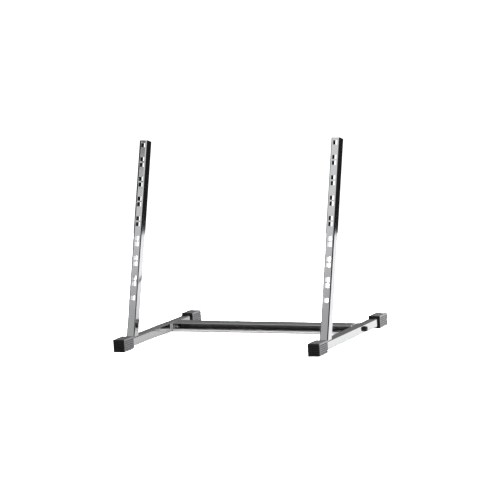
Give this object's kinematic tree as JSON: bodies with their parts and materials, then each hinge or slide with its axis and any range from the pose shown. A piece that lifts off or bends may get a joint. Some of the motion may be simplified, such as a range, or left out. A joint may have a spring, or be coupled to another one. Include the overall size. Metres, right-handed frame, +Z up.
{
  "type": "table-top rack stand",
  "caption": "Table-top stand for rack equipment: leaning uprights with square holes on foot rails with ribbed sleeve caps, joined by a low rear crossbar.",
  "frame": {"origin": "on the floor, midway between the rails and midway between the ends of the caps", "axes": "+X across the stand to the right, +Y to the rear, +Z up"},
  "size_m": [0.4976, 0.387, 0.4469],
  "materials": {
    "chrome": "bright plated",
    "rubber": "matte ribbed",
    "black_steel": "black oxide",
    "zinc_steel": "zinc plated"
  },
  "bodies": {
    "root": {"crossbar": "chrome", "left_rail": "chrome", "left_upright": "chrome", "left_front_weld": "chrome", "left_inner_weld": "chrome", "left_front_cap": "rubber", "left_rear_cap": "rubber", "left_end_plate": "chrome", "left_weld_nut": "zinc_steel", "left_washer": "black_steel", "left_bolt": "black_steel", "right_rail": "chrome", "right_upright": "chrome", "right_front_weld": "chrome", "right_inner_weld": "chrome", "right_front_cap": "rubber", "right_rear_cap": "rubber", "right_end_plate": "chrome", "right_weld_nut": "zinc_steel", "right_washer": "black_steel", "right_bolt": "black_steel"}
  },
  "joints": []
}
